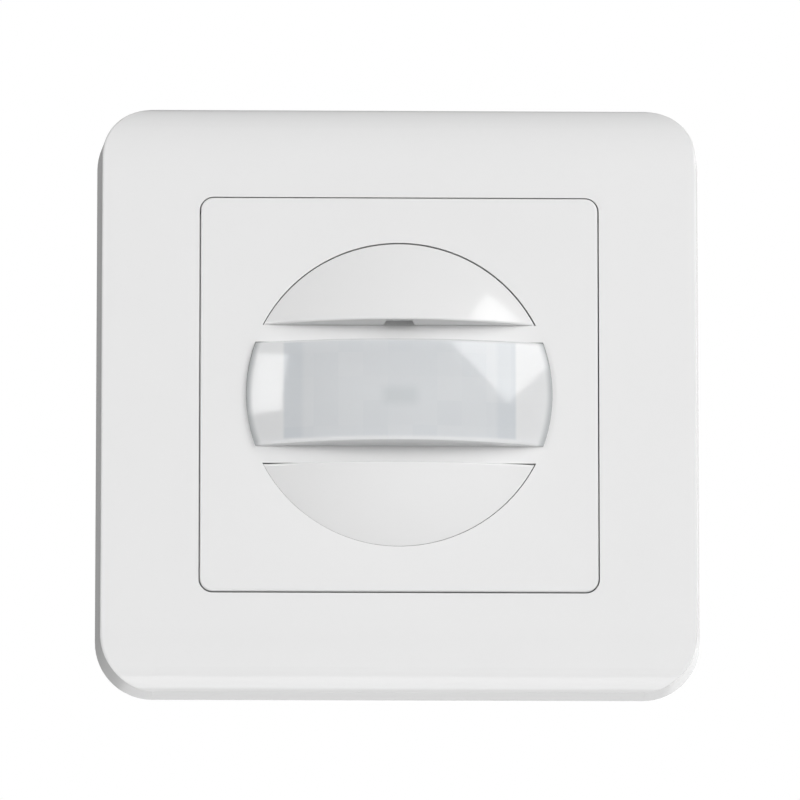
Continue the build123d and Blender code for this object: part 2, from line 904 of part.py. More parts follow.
def power_cover():
    outline = module_outline()
    window = Rectangle(plug_width + 2 * board_clearance, plug_height + 2 * board_clearance)
    outline -= Pos(0, -plug_level) * window
    for side in (-1, 1):
        outline -= Pos(0, side * strap_screw_offset) * Circle(strap_screw_radius + thread_clearance)
    return slab(outline, housing_front, 0)


def terminal_places():
    return [(index - (terminal_count - 1) / 2) * terminal_pitch for index in range(terminal_count)]


def terminal_rear():
    return housing_back + housing_wall + terminal_back_gap


def cage_centre_depth():
    return terminal_rear() + terminal_wall + cage_clearance + cage_depth / 2


def wire_level():
    """Height of the wire's axis, midway between the bar and the open cage's roof."""
    roof = cage_bottom() + cage_height - cage_roof
    return (bar_bottom() + bar_thickness + roof) / 2


def cage_bottom():
    """The open cage's lowest face."""
    web_top = -terminal_head_level + terminal_head_height + terminal_web
    return web_top + cage_clearance + cage_travel


def bar_bottom():
    return cage_bottom() + cage_floor + cage_clearance


def power_housing():
    housing = slab(module_outline(), housing_back, housing_front)
    housing -= slab(module_outline(housing_wall), housing_back + housing_wall, housing_front + overrun)
    screw_end = strap_thickness - strap_screw_length
    for side in (-1, 1):
        z = side * strap_screw_offset
        boss = rod(0, z, strap_screw_radius + housing_wall, screw_end - housing_wall, housing_front)
        housing += boss & slab(module_outline(), housing_back, housing_front)
        housing -= rod(0, z, strap_screw_radius + thread_clearance, screw_end, housing_front + overrun)
    for x in (-housing_post_x, housing_post_x):
        for z in (-housing_post_low, housing_post_high):
            housing += rod(x, z, housing_post_radius, housing_back + housing_wall / 2, power_board_back)
    for x in terminal_places():
        housing -= rod(x, wire_level(), wire_radius,
                       housing_back - overrun, housing_back + housing_wall + overrun)
        housing -= pillar(x, cage_centre_depth(), terminal_head_radius + cage_clearance,
                          -housing_radius - overrun, -terminal_head_level)
    return housing


def power_board():
    return slab(module_outline(housing_wall + board_clearance), power_board_back, power_board_front)


def power_socket():
    width = plug_width + 2 * socket_wall
    height = plug_height + 2 * socket_wall
    front = power_board_front + socket_height
    socket = centred_block(0, -plug_level, width, height, power_board_front, front)
    hole = pin_size + 2 * pin_clearance
    for x in pin_places():
        socket -= centred_block(x, -plug_level, hole, hole,
                                -plug_reach - pin_reach - pin_clearance, front + overrun)
    return socket


def hanging(x, z, width, height, depth):
    """A box-shaped component on the rear of the power board."""
    return centred_block(x, z, width, height, power_board_back - depth, power_board_back)


def relay():
    case = hanging(0, relay_level, relay_width, relay_height, relay_depth)
    step = hanging(0, relay_level, relay_width + overrun, relay_height + overrun, relay_foot)
    return fillet(case.faces().sort_by(Axis.Y)[-1].edges(), relay_edge) - step + relay_pins()


def relay_pins():
    pins = Part()
    for side in (-1, 1):
        for end in (-1, 1):
            x = side * (relay_width / 2 - relay_pin_inset)
            z = relay_level + end * (relay_height / 2 - relay_pin_inset)
            pins += rod(x, z, lead_radius, power_board_back - 2 * relay_foot, power_board_back)
    return pins


def film_capacitor():
    body = hanging(film_x, film_level, film_width, film_height, film_depth)
    return fillet(body.faces().sort_by(Axis.Y)[-1].edges(), film_edge)


def storage_capacitor():
    rear = power_board_back - storage_depth
    can = rod(storage_x, storage_level, storage_radius, rear, power_board_back)
    can = fillet(can.faces().sort_by(Axis.Y)[-1].edges(), storage_edge)
    for width, height in ((storage_radius, vent_width), (vent_width, storage_radius)):
        can -= centred_block(storage_x, storage_level, width, height, rear - overrun, rear + vent_depth)
    return can


def choke_core():
    rear = power_board_back - choke_depth
    core = rod(choke_x, choke_level, choke_core_radius, rear, power_board_back)
    core += rod(choke_x, choke_level, choke_radius, rear, rear + choke_flange)
    front_flange = power_board_back - choke_flange
    return core + rod(choke_x, choke_level, choke_radius, front_flange, power_board_back)


def choke_winding():
    rear = power_board_back - choke_depth + choke_flange
    front = power_board_back - choke_flange
    winding = rod(choke_x, choke_level, choke_winding_radius, rear, front)
    return winding - rod(choke_x, choke_level, choke_core_radius, rear - overrun, front + overrun)


def varistor():
    """A disc that stands on two leads."""
    depth = power_board_back - varistor_standoff - varistor_radius
    bottom = varistor_level - varistor_thickness / 2
    disc = pillar(0, depth, varistor_radius, bottom, bottom + varistor_thickness)
    disc = fillet(disc.edges(), varistor_edge)
    for side in (-1, 1):
        disc += rod(side * varistor_radius / 2, varistor_level, lead_radius, depth, power_board_back)
    return disc


def fuse():
    return rod(fuse_x, fuse_level, fuse_radius, power_board_back - fuse_depth, power_board_back)


def rectifier():
    return centred_block(0, rectifier_level, rectifier_width, rectifier_height, power_board_front,
                         power_board_front + rectifier_depth)


# Terminals of the power module

def terminal_block():
    walls = (terminal_count + 1) * terminal_wall
    half_width = (terminal_count * (cage_width + 2 * cage_clearance) + walls) / 2
    bottom = -terminal_head_level
    top = bottom + terminal_block_height
    rear = terminal_rear()
    front = power_board_back - terminal_block_gap
    block_body = block(-half_width, half_width, rear, front, bottom, top) & slab(
        module_outline(housing_wall + part_gap), rear, front)
    depth = cage_centre_depth()
    web_bottom = bottom + terminal_head_height
    cavity_top = cage_bottom() + cage_height + cage_clearance
    for x in terminal_places():
        block_body -= pillar(x, depth, terminal_head_radius + cage_clearance, bottom - overrun, web_bottom)
        block_body -= pillar(x, depth, terminal_screw_radius + part_gap, bottom, web_bottom + 2 * terminal_web)
        reach = cage_width / 2 + cage_clearance
        span = cage_depth / 2 + cage_clearance
        block_body -= block(x - reach, x + reach, depth - span, depth + span,
                            web_bottom + terminal_web, cavity_top)
        block_body -= rod(x, wire_level(), wire_radius, rear - overrun, depth)
        block_body -= bar_shape(x, rear + terminal_wall, front + overrun)
    return block_body


def bar_shape(x, rear, front):
    bottom = bar_bottom()
    return block(x - bar_width / 2, x + bar_width / 2, rear, front, bottom, bottom + bar_thickness)


def terminal_bars():
    rear = terminal_rear() + terminal_wall
    return join([bar_shape(x, rear + cage_clearance, power_board_back) for x in terminal_places()])


def terminal_cage(x):
    depth = cage_centre_depth()
    bottom = cage_bottom()
    rear, front = depth - cage_depth / 2, depth + cage_depth / 2
    left, right = x - cage_width / 2, x + cage_width / 2
    cage = block(left, right, rear, front, bottom, bottom + cage_height)
    cage -= block(left + cage_side, right - cage_side, rear - overrun, front + overrun,
                  bottom + cage_floor, bottom + cage_height - cage_roof)
    bore = terminal_screw_radius + running_clearance
    return cage - pillar(x, depth, bore, bottom - overrun, bottom + cage_floor)


def terminal_screw(x):
    depth = cage_centre_depth()
    web_bottom = -terminal_head_level + terminal_head_height
    tip = cage_bottom() + cage_floor
    shank = pillar(x, depth, terminal_screw_radius, web_bottom, tip)
    head_bottom = web_bottom - terminal_head_height + cage_clearance
    head = pillar(x, depth, terminal_head_radius, head_bottom, web_bottom)
    slot = block(x - terminal_head_radius - overrun, x + terminal_head_radius + overrun,
                 depth - slot_width / 2, depth + slot_width / 2,
                 head_bottom - overrun, head_bottom + slot_width)
    return shank + head - slot


def build():
    simple = [cover_frame, centre_plate, fresnel_lens, settings_cover, manual_button, sensor_carrier,
              sensor_board, carrier_screws, pir_base, pir_can, pir_window, mode_switch_body, mode_slider,
              tact_switch_body, tact_plunger, controller_chip, filter_capacitor, board_plug, plug_pins,
              support_strap, strap_screws, claw_pins, power_cover, power_housing, power_board, power_socket,
              relay, film_capacitor, storage_capacitor, choke_core, choke_winding, varistor, fuse, rectifier,
              terminal_block, terminal_bars]
    for make in simple:
        save(make(), make.__name__)
    save(domed_sight(-sight_offset), "light_sensor")
    save(domed_sight(sight_offset), "status_led")
    for name, (x, z) in zip(("time", "light", "range"), dial_places()):
        save(trimmer_body(x, z), f"{name}_trimmer_body")
        save(trimmer_dial(x, z), f"{name}_dial")
    for number, x in enumerate(terminal_places(), start=1):
        save(terminal_cage(x), f"terminal_cage_{number}")
        save(terminal_screw(x), f"terminal_screw_{number}")
    for make in (right_claw, right_claw_screw, right_claw_nut):
        shape = make()
        save(mirror(shape, about=Plane.YZ), make.__name__.replace("right", "left"))
        save(shape, make.__name__)


build()
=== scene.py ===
"""The looks of a flush motion sensor light switch, dressed round its packed construction.

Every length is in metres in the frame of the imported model: X to the right, Z up and -Y out of the wall.
"""
import logging
import math
from dataclasses import dataclass, field
from enum import Enum
from typing import Any

import bmesh
import bpy
from mathutils import Matrix, Quaternion, Vector


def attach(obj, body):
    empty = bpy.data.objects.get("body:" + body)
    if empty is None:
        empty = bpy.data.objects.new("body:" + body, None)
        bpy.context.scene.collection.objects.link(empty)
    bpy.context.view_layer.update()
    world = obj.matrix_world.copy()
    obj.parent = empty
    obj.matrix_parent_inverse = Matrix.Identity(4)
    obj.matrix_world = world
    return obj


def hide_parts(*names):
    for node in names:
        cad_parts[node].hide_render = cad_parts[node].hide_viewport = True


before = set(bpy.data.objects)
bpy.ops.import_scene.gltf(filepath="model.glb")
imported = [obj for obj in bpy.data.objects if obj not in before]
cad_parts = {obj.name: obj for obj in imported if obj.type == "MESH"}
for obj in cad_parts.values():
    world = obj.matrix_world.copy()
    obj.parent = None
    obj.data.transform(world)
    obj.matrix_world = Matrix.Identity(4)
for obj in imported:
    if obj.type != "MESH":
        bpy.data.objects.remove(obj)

MM = 0.001
IMAGE_SIZE = 800
ROOT = "switch_base"
MERGE_DISTANCE = 0.001 * MM
CLOUD_DETAIL = 2.0
ROLLING_STRETCH = (0.08, 1.0, 1.0)
FACE_ONLY = (1.0, 0.0, 1.0)
WHITE = "FFFFFF"
BARE = "000000"
FLOOR_SHADE = "ECECEC"
CLIPPING = (0.01, 20.0)
log = logging.getLogger("switch")

Colour = tuple[float, float, float, float]


class Grain(Enum):
    """How the surface of a finish was made, which sets the pattern in its bump."""

    MOULDED = "moulded"
    SPARK_ERODED = "spark_eroded"
    ROLLED = "rolled"
    POLISHED = "polished"


GRAIN_DETAIL = {Grain.MOULDED: 1.0, Grain.SPARK_ERODED: 4.0, Grain.ROLLED: 4.0, Grain.POLISHED: 0.0}


def linear(code: str) -> Colour:
    """Turn an sRGB hex code into a linear colour.

    Args:
        code: Six hex digits, with no sign in front.

    Returns:
        Red, green, blue and an alpha of one.
    """
    shares = [int(code[i:i + 2], 16) / 255 for i in (0, 2, 4)]
    red, green, blue = [s / 12.92 if s <= 0.04045 else ((s + 0.055) / 1.055) ** 2.4 for s in shares]
    return red, green, blue, 1.0


def add(tree: bpy.types.NodeTree, kind: str, settings: dict | None = None,
        links: dict | None = None) -> bpy.types.Node:
    """Add a node with its settings and its incoming links.

    Args:
        tree: The node tree that takes the node.
        kind: The node's type name.
        settings: Values by property name, or by input name or number.
        links: Output sockets by the input name or number that they feed.

    Returns:
        The new node.
    """
    node = tree.nodes.new(kind)
    for name, value in (settings or {}).items():
        if isinstance(name, str) and hasattr(node, name):
            setattr(node, name, value)
        else:
            node.inputs[name].default_value = value
    for name, socket in (links or {}).items():
        tree.links.new(socket, node.inputs[name])
    return node


def empty_tree(owner: Any) -> bpy.types.NodeTree:
    """Give a material or world a cleared node tree.

    Args:
        owner: The material or world.

    Returns:
        Its node tree, with nothing in it.
    """
    owner.use_nodes = True
    owner.node_tree.nodes.clear()
    return owner.node_tree


def blended(tree: bpy.types.NodeTree, share: bpy.types.NodeSocket, under: Any,
            over: Any) -> bpy.types.NodeSocket:
    """Lay one colour over another.

    Args:
        tree: The node tree.
        share: How much of the upper colour shows.
        under: The lower colour, as a socket or a fixed colour.
        over: The upper colour, as a socket or a fixed colour.

    Returns:
        The mixed colour as a socket.
    """
    sides = {6: under, 7: over}
    fixed = {number: side for number, side in sides.items() if isinstance(side, tuple)}
    linked = {number: side for number, side in sides.items() if number not in fixed}
    return add(tree, "ShaderNodeMix", {"data_type": "RGBA", **fixed}, {"Factor": share, **linked}).outputs[2]


@dataclass(frozen=True)
class Finish:
    """One surface finish, built as a node material.

    Args:
        name: What the real material is.
        colour: Its sRGB hex code.
        roughness: Microfacet roughness, matched.
        ior: Refractive index, left at the default on metals.
        metallic: One for bare and plated metal.
        grain: How the surface was made.
        grain_mm: Distance from one bump to the next, in millimetres.
        grain_height_mm: Height of the bumps, in millimetres.
        tone_shift: How far the colour wanders over the surface, as a share.
        tone_mm: Distance over which it wanders, in millimetres.
        depth_mm: How far light spreads below the skin, in millimetres; nought for opaque finishes.
        depth_share: Share of the light that does so.
    """

    name: str
    colour: str
    roughness: float
    ior: float = 1.5
    metallic: float = 0.0
    grain: Grain = Grain.MOULDED
    grain_mm: float = 3.0
    grain_height_mm: float = 0.001
    tone_shift: float = 0.01
    tone_mm: float = 18.0
    depth_mm: float = 0.0
    depth_share: float = 0.0

    def material(self) -> bpy.types.Material:
        """Build the material once and give it back afterwards.

        Returns:
            The material.
        """
        made = bpy.data.materials.get(self.name)
        if made is None:
            made = bpy.data.materials.new(self.name)
            self.fill(empty_tree(made))
        return made

    def fill(self, tree: bpy.types.NodeTree) -> None:
        """Lay the nodes from the place on the surface to the output.

        Args:
            tree: The material's empty node tree.
        """
        place = add(tree, "ShaderNodeTexCoord").outputs["Object"]
        shader = add(tree, "ShaderNodeBsdfPrincipled",
                     {"Roughness": self.roughness, "IOR": self.ior, "Metallic": self.metallic,
                      "Subsurface Weight": self.depth_share, "Subsurface Radius": (1.0, 1.0, 1.0),
                      "Subsurface Scale": self.depth_mm * MM},
                     {"Base Color": self.shade(tree, place), "Normal": self.relief(tree, place)})
        add(tree, "ShaderNodeOutputMaterial", {}, {"Surface": shader.outputs["BSDF"]})

    def shade(self, tree: bpy.types.NodeTree, place: bpy.types.NodeSocket) -> bpy.types.NodeSocket:
        """The colour all over the piece, which is the plain tone unless a finish says otherwise."""
        return self.tone(tree, place)

    def tone(self, tree: bpy.types.NodeTree, place: bpy.types.NodeSocket) -> bpy.types.NodeSocket:
        """The base colour, which wanders a little as mixed resin or a plating bath leaves it.

        Args:
            tree: The node tree.
            place: The object coordinates.

        Returns:
            The colour as a socket.
        """
        cloud = add(tree, "ShaderNodeTexNoise",
                    {"Scale": 1 / (self.tone_mm * MM), "Detail": CLOUD_DETAIL}, {"Vector": place})
        base = linear(self.colour)
        low = tuple(c * (1 - self.tone_shift) for c in base[:3]) + (1.0,)
        high = tuple(min(1.0, c * (1 + self.tone_shift)) for c in base[:3]) + (1.0,)
        mix = add(tree, "ShaderNodeMix", {"data_type": "RGBA", "clamp_factor": True, 6: low, 7: high},
                  {"Factor": cloud.outputs["Fac"]})
        return mix.outputs[2]

    def relief(self, tree: bpy.types.NodeTree, place: bpy.types.NodeSocket) -> bpy.types.NodeSocket:
        """The surface's fine bumps, stretched along X where the sheet was rolled.

        Args:
            tree: The node tree.
            place: The object coordinates.

        Returns:
            The normal as a socket.
        """
        if self.grain is Grain.ROLLED:
            place = add(tree, "ShaderNodeMapping", {"Scale": ROLLING_STRETCH},
                        {"Vector": place}).outputs["Vector"]
        bumps = add(tree, "ShaderNodeTexNoise",
                    {"Scale": 1 / (self.grain_mm * MM), "Detail": GRAIN_DETAIL[self.grain]},
                    {"Vector": place})
        return add(tree, "ShaderNodeBump", {"Distance": self.grain_height_mm * MM, "Strength": 1.0},
                   {"Height": bumps.outputs["Fac"]}).outputs["Normal"]


@dataclass(frozen=True)
class MilkyLens(Finish):
    """Milky polyethylene, thin enough to pass light, faceted inside between two plain end zones.

    The eye sees a faint grid of cool tones between the ends, with painted shade on the steeper outer facets,
    a painted shadow where the sensor stands behind, and painted shade where the skin turns down at its rim.

    Args:
        facets: Half the width and half the height of the faceted field, in millimetres.
        facets_centre: Centre of the field, across and up, in millimetres.
        facets_soft: How far the edge of the field fades, in millimetres.
        even_facets: Half the size of its middle, past which the steeper facets are painted darker as shade.
        even_soft: How far the edge of that middle fades, in millimetres.
        facet: Width and height of one facet, in millimetres.
        facet_shade: The colour that the facets lean to.
        facet_shares: Least and greatest share of that colour on a facet.
        painted_steep_shade_share: How much more of it the steeper facets take, as painted shade.
        spot: Centre height, half width and half height of the sensor's painted shadow, in millimetres.
        painted_shadow_soft: How far the edge of the painted shadow fades, in millimetres.
        painted_shadow_colour: The colour of the painted shadow.
        painted_shadow_share: How much of the painted shadow shows through the lens.
        rim: Distances from the centre over which painted shade darkens the skin to its rim, in millimetres.
        painted_rim_shade: The colour of the painted shade at the rim.
        painted_rim_share: How much of the painted shade shows there.
    """

    facets: tuple[float, float] = (16.0, 6.7)
    facets_centre: tuple[float, float] = (0.0, 0.1)
    facets_soft: float = 0.25
    even_facets: tuple[float, float] = (13.4, 9.0)
    even_soft: float = 0.5
    facet: tuple[float, float] = (3.4, 3.4)
    facet_shade: str = "C9CED3"
    facet_shares: tuple[float, float] = (0.38, 0.52)
    painted_steep_shade_share: float = 0.24
    spot: tuple[float, float, float] = (-1.0, 2.4, 1.2)
    painted_shadow_soft: float = 0.9
    painted_shadow_colour: str = "AEB6B8"
    painted_shadow_share: float = 0.25
    rim: tuple[float, float] = (20.1, 21.2)
    painted_rim_shade: str = "9CA0A2"
    painted_rim_share: float = 0.8

    def within(self, tree: bpy.types.NodeTree, place: bpy.types.NodeSocket, centre: tuple[float, float],
               half: tuple[float, float], soft: float) -> bpy.types.NodeSocket:
        """One inside a rectangle in the lens's face and nought outside it.

        Args:
            tree: The node tree.
            place: The object coordinates.
            centre: The rectangle's middle, across and up, in millimetres.
            half: Half its width and height, in millimetres.
            soft: How far its edge fades, in millimetres.

        Returns:
            The share as a socket.
        """
        middle = (centre[0] * MM, 0.0, centre[1] * MM)
        moved = add(tree, "ShaderNodeVectorMath", {"operation": "SUBTRACT", 1: middle},
                    {0: place}).outputs["Vector"]
        span = add(tree, "ShaderNodeVectorMath", {"operation": "ABSOLUTE"}, {0: moved}).outputs["Vector"]
        parts = add(tree, "ShaderNodeSeparateXYZ", {}, {0: span}).outputs
        shares = [add(tree, "ShaderNodeMapRange", {"interpolation_type": "SMOOTHSTEP", 1: (size - soft) * MM,
                                                   2: (size + soft) * MM, 3: 1.0, 4: 0.0}, {0: parts[axis]})
                  for axis, size in (("X", half[0]), ("Z", half[1]))]
        return add(tree, "ShaderNodeMath", {"operation": "MULTIPLY"},
                   {0: shares[0].outputs[0], 1: shares[1].outputs[0]}).outputs[0]

    def shade(self, tree: bpy.types.NodeTree, place: bpy.types.NodeSocket) -> bpy.types.NodeSocket:
        """The colour over the lens: plain ends, faceted field, painted sensor shadow and painted rim shade.

        Args:
            tree: The node tree.
            place: The object coordinates.

        Returns:
            The colour as a socket.
        """
        width, height = self.facet
        per_facet = (1 / (width * MM), 0.0, 1 / (height * MM))
        half_facet = (0.5, 0.0, 0.5)
        cells = add(tree, "ShaderNodeVectorMath", {"operation": "MULTIPLY_ADD", 1: per_facet, 2: half_facet},
                    {0: place}).outputs["Vector"]
        index = add(tree, "ShaderNodeVectorMath", {"operation": "FLOOR"}, {0: cells}).outputs["Vector"]
        chance = add(tree, "ShaderNodeTexWhiteNoise", {"noise_dimensions": "3D"}, {0: index}).outputs["Value"]
        least, most = self.facet_shares
        shaded = add(tree, "ShaderNodeMapRange", {3: least, 4: most}, {0: chance}).outputs[0]
        middle = self.within(tree, place, self.facets_centre, self.even_facets, self.even_soft)
        # Painted shade: the steeper facets past the even middle lean further to the facet colour.
        painted_steep_shade = add(tree, "ShaderNodeMapRange", {3: self.painted_steep_shade_share, 4: 0.0}, {0: middle}).outputs[0]
        leaning = add(tree, "ShaderNodeMath", {"operation": "ADD"}, {0: shaded, 1: painted_steep_shade}).outputs[0]
        zone = self.within(tree, place, self.facets_centre, self.facets, self.facets_soft)
        share = add(tree, "ShaderNodeMath", {"operation": "MULTIPLY"}, {0: zone, 1: leaning}).outputs[0]
        faceted = blended(tree, share, self.tone(tree, place), linear(self.facet_shade))
        # Painted shadow: a soft darker patch where the sensor stands behind the lens.
        level, half_width, half_height = self.spot
        shadow = self.within(tree, place, (0.0, level), (half_width, half_height), self.painted_shadow_soft)
        faint = add(tree, "ShaderNodeMath", {"operation": "MULTIPLY", 1: self.painted_shadow_share},
                    {0: shadow}).outputs[0]
        with_painted_shadow = blended(tree, faint, faceted, linear(self.painted_shadow_colour))
        # Painted shade: the skin darkens towards its rim, where it turns down.
        flat = add(tree, "ShaderNodeVectorMath", {"operation": "MULTIPLY", 1: FACE_ONLY},
                   {0: place}).outputs["Vector"]
        reach = add(tree, "ShaderNodeVectorMath", {"operation": "LENGTH"}, {0: flat}).outputs["Value"]
        turned = add(tree, "ShaderNodeMapRange",
                     {"interpolation_type": "SMOOTHSTEP", 1: self.rim[0] * MM, 2: self.rim[1] * MM,
                      4: self.painted_rim_share}, {0: reach}).outputs[0]
        return blended(tree, turned, with_painted_shadow, linear(self.painted_rim_shade))


@dataclass(frozen=True)
class EjectedPlastic(Finish):
    """Textured plastic with the round marks that the mould's ejector pins leave.

    The eye sees a fine even grain, broken by shallow rings on the wide faces.

    Args:
        marks: Centres of the marks across and up, in millimetres.
        mark_radius: Their radius, in millimetres.
        mark_depth: Their depth, in millimetres.
        mark_soft: How far their edges round off each way, in millimetres.
    """

    marks: tuple[tuple[float, float], ...] = (
        (-11.0, 12.0), (11.0, 12.0), (-13.0, -4.0), (13.0, -4.0), (0.0, 20.0))
    mark_radius: float = 2.0
    mark_depth: float = 0.08
    mark_soft: float = 0.15

    def relief(self, tree: bpy.types.NodeTree, place: bpy.types.NodeSocket) -> bpy.types.NodeSocket:
        """The grain, with the marks pressed into it.

        Args:
            tree: The node tree.
            place: The object coordinates.

        Returns:
            The normal as a socket.
        """
        grain = super().relief(tree, place)
        flat = add(tree, "ShaderNodeVectorMath", {"operation": "MULTIPLY", 1: FACE_ONLY},
                   {0: place}).outputs["Vector"]
        nearest = None
        for across, up in self.marks:
            centre = (across * MM, 0.0, up * MM)
            away = add(tree, "ShaderNodeVectorMath", {"operation": "DISTANCE", 1: centre},
                       {0: flat}).outputs["Value"]
            nearest = away if nearest is None else add(
                tree, "ShaderNodeMath", {"operation": "MINIMUM"}, {0: nearest, 1: away}).outputs[0]
        sunk = add(tree, "ShaderNodeMapRange",
                   {"interpolation_type": "SMOOTHSTEP", 1: (self.mark_radius - self.mark_soft) * MM,
                    2: (self.mark_radius + self.mark_soft) * MM}, {0: nearest}).outputs[0]
        return add(tree, "ShaderNodeBump", {"Distance": self.mark_depth * MM, "Strength": 1.0},
                   {"Height": sunk, "Normal": grain}).outputs["Normal"]


@dataclass(frozen=True)
class PrintedBoard(Finish):
    """Glass-fibre laminate under solder mask, with its copper tracks and tinned pads.

    The eye sees glossy green, slightly lighter and raised over the tracks, and dotted with tin.

    Args:
        track_shade: The mask's colour over copper.
        pad_shade: The tin's colour.
        track_mm: Length and height of the fields between the tracks, in millimetres.
        track_width_mm: Width of a track, in millimetres.
        pad_pitch_mm: Distance from one pad to the next, in millimetres.
        pad_share: Radius of a pad, as a share of that distance.
    """

    track_shade: str = "2F8A52"
    pad_shade: str = "C6C9C4"
    track_mm: tuple[float, float] = (5.2, 1.3)
    track_width_mm: float = 0.3
    pad_pitch_mm: float = 2.54
    pad_share: float = 0.16

    def shade(self, tree: bpy.types.NodeTree, place: bpy.types.NodeSocket) -> bpy.types.NodeSocket:
        """Tracks over the mask and pads over the tracks.

        Args:
            tree: The node tree.
            place: The object coordinates.

        Returns:
            The colour as a socket.
        """
        laid = add(tree, "ShaderNodeMapping",
                   {"Rotation": (math.pi / 2, 0.0, 0.0), "Scale": (1 / MM,) * 3},
                   {"Vector": place}).outputs["Vector"]
        mask, copper = linear(BARE), linear(WHITE)
        tracks = add(tree, "ShaderNodeTexBrick",
                     {"Color1": mask, "Color2": mask, "Mortar": copper, "Scale": 1.0,
                      "Mortar Size": self.track_width_mm / 2, "Brick Width": self.track_mm[0],
                      "Row Height": self.track_mm[1]}, {"Vector": laid}).outputs["Color"]
        pads = add(tree, "ShaderNodeTexVoronoi", {"Scale": 1 / self.pad_pitch_mm},
                   {"Vector": laid}).outputs["Distance"]
        tinned = add(tree, "ShaderNodeMath", {"operation": "LESS_THAN", 1: self.pad_share},
                     {0: pads}).outputs[0]
        tracked = blended(tree, tracks, self.tone(tree, place), linear(self.track_shade))
        return blended(tree, tinned, tracked, linear(self.pad_shade))


# Gloss white ABS from a polished mould: an even white with clear, slightly soft reflections
GLOSS_WHITE = Finish("gloss_white_abs", "ECECEC", 0.12, 1.53)
# Thin milky polyethylene: clear reflections over a cool, cloudy body
LENS = MilkyLens("milky_polyethylene", "E6E7E8", 0.10, 1.54, depth_mm=1.6, depth_share=1.0)
# Spark-eroded polycarbonate: matt and finely pebbled, drawn a little coarser than the real 0.1 mm grain
CARRIER = EjectedPlastic("light_grey_polycarbonate", "C9C8C4", 0.42, 1.58, grain=Grain.SPARK_ERODED,
                         grain_mm=0.5, grain_height_mm=0.012)
HOUSING = EjectedPlastic("dark_grey_polycarbonate", "46484A", 0.46, 1.58, grain=Grain.SPARK_ERODED,
                         grain_mm=0.5, grain_height_mm=0.02, tone_shift=0.05)
# Polyamide: dull, with a little mottling where it has taken up water
TERMINAL = Finish("grey_polyamide", "8B8D8E", 0.5, 1.53, grain=Grain.SPARK_ERODED, grain_mm=0.4,
                  grain_height_mm=0.01, tone_shift=0.04, tone_mm=6.0)
BLACK = Finish("black_polyamide", "18191A", 0.45, 1.53, grain=Grain.SPARK_ERODED, grain_mm=0.3,
               grain_height_mm=0.008, tone_shift=0.1)
# Glass-filled polyester: half gloss, with the fibres just felt in its skin
TRIMMER = Finish("blue_polyester", "1F4E9A", 0.35, 1.55, grain_mm=0.6, grain_height_mm=0.004)
RELAY = Finish("dark_blue_polyester", "142B4F", 0.3, 1.55, grain_mm=0.8, grain_height_mm=0.006)
FILM = Finish("yellow_polyester", "C9A927", 0.35, 1.55, grain_mm=0.8, grain_height_mm=0.006)
# Acetal: waxy ivory with a soft sheen
DIAL = Finish("ivory_acetal", "E2DFD2", 0.3, 1.48, grain_mm=1.0, grain_height_mm=0.002)
# Sleeve shrunk on by heat: glossy, with shallow ripples
SLEEVE = Finish("black_shrunk_pvc", "121316", 0.28, 1.53, grain_mm=1.2, grain_height_mm=0.006,
                tone_shift=0.08)
# Dipped epoxy: glossy and lumpy, as it drained
VARISTOR = Finish("blue_dipped_epoxy", "1C4E8C", 0.3, 1.55, grain_mm=1.4, grain_height_mm=0.02)
LAMINATE = PrintedBoard("green_solder_mask", "1B6B3C", 0.33, 1.5, grain_mm=0.9, grain_height_mm=0.012,
                        tone_shift=0.12, tone_mm=2.0)
# Cast epoxy: water-clear and glossy
CLEAR = Finish("clear_epoxy", "D9DAD6", 0.08, 1.55, grain=Grain.POLISHED, depth_mm=1.5, depth_share=0.8)
# Coated silicon: near black with a faint violet gloss
FILTER = Finish("dark_infrared_filter", "1C1A20", 0.1, 1.6, grain=Grain.POLISHED)
# Pad-printed ink: dull grey, thin enough to follow the plastic
INK = Finish("grey_pad_print", "6E7072", 0.5, 1.5, grain=Grain.SPARK_ERODED, grain_mm=0.1,
             grain_height_mm=0.001)
# Rolled sheet under zinc: fine lines along X and cloudy grey patches from the plating bath
STEEL = Finish("zinc_plated_steel", "C2C4C6", 0.36, metallic=1.0, grain=Grain.ROLLED, grain_mm=0.25,
               grain_height_mm=0.004, tone_shift=0.14, tone_mm=3.0)
# Headed and rolled screws under zinc: brighter, with a faint mottle
SCREW = Finish("zinc_plated_screw_steel", "D2D2CF", 0.28, metallic=1.0, grain_mm=0.4, grain_height_mm=0.001,
               tone_shift=0.05, tone_mm=2.0)
# Nickel over a drawn can: warm, smooth and mirror-like
NICKEL = Finish("nickel_plate", "C9C4B8", 0.2, metallic=1.0, grain=Grain.POLISHED, grain_mm=1.0)
# Punched brass strip: yellow, with rolling lines and light tarnish
BRASS = Finish("bare_brass", "C8A25A", 0.32, metallic=1.0, grain=Grain.ROLLED, grain_mm=0.15,
               grain_height_mm=0.001, tone_shift=0.05, tone_mm=3.0)
# Drawn aluminium: pale, with lines along the draw
ALUMINIUM = Finish("drawn_aluminium", "C9CACC", 0.3, metallic=1.0, grain=Grain.ROLLED, grain_mm=0.2,
                   grain_height_mm=0.001)
# Pressed and sintered ferrite: dull black and slightly porous
FERRITE = Finish("sintered_ferrite", "2B2C2E", 0.55, 2.0, grain=Grain.SPARK_ERODED, grain_mm=0.3,
                 grain_height_mm=0.01)
# Enamelled wire: glossy red-brown over metal
COPPER = Finish("enamelled_copper", "A6542B", 0.25, metallic=1.0, grain_mm=0.4, grain_height_mm=0.006)


def fitted(name: str, shape: bmesh.types.BMesh, finish: Finish) -> bpy.types.Object:
    """Turn a finished bmesh into a piece of the scene.

    Args:
        name: The piece's name.
        shape: The bmesh, in metres and in place, which is freed.
        finish: What it is made of.

    Returns:
        The new object.
    """
    mesh = bpy.data.meshes.new(name)
    shape.to_mesh(mesh)
    shape.free()
    mesh.materials.append(finish.material())
    piece = bpy.data.objects.new(name, mesh)
    bpy.context.scene.collection.objects.link(piece)
    return piece


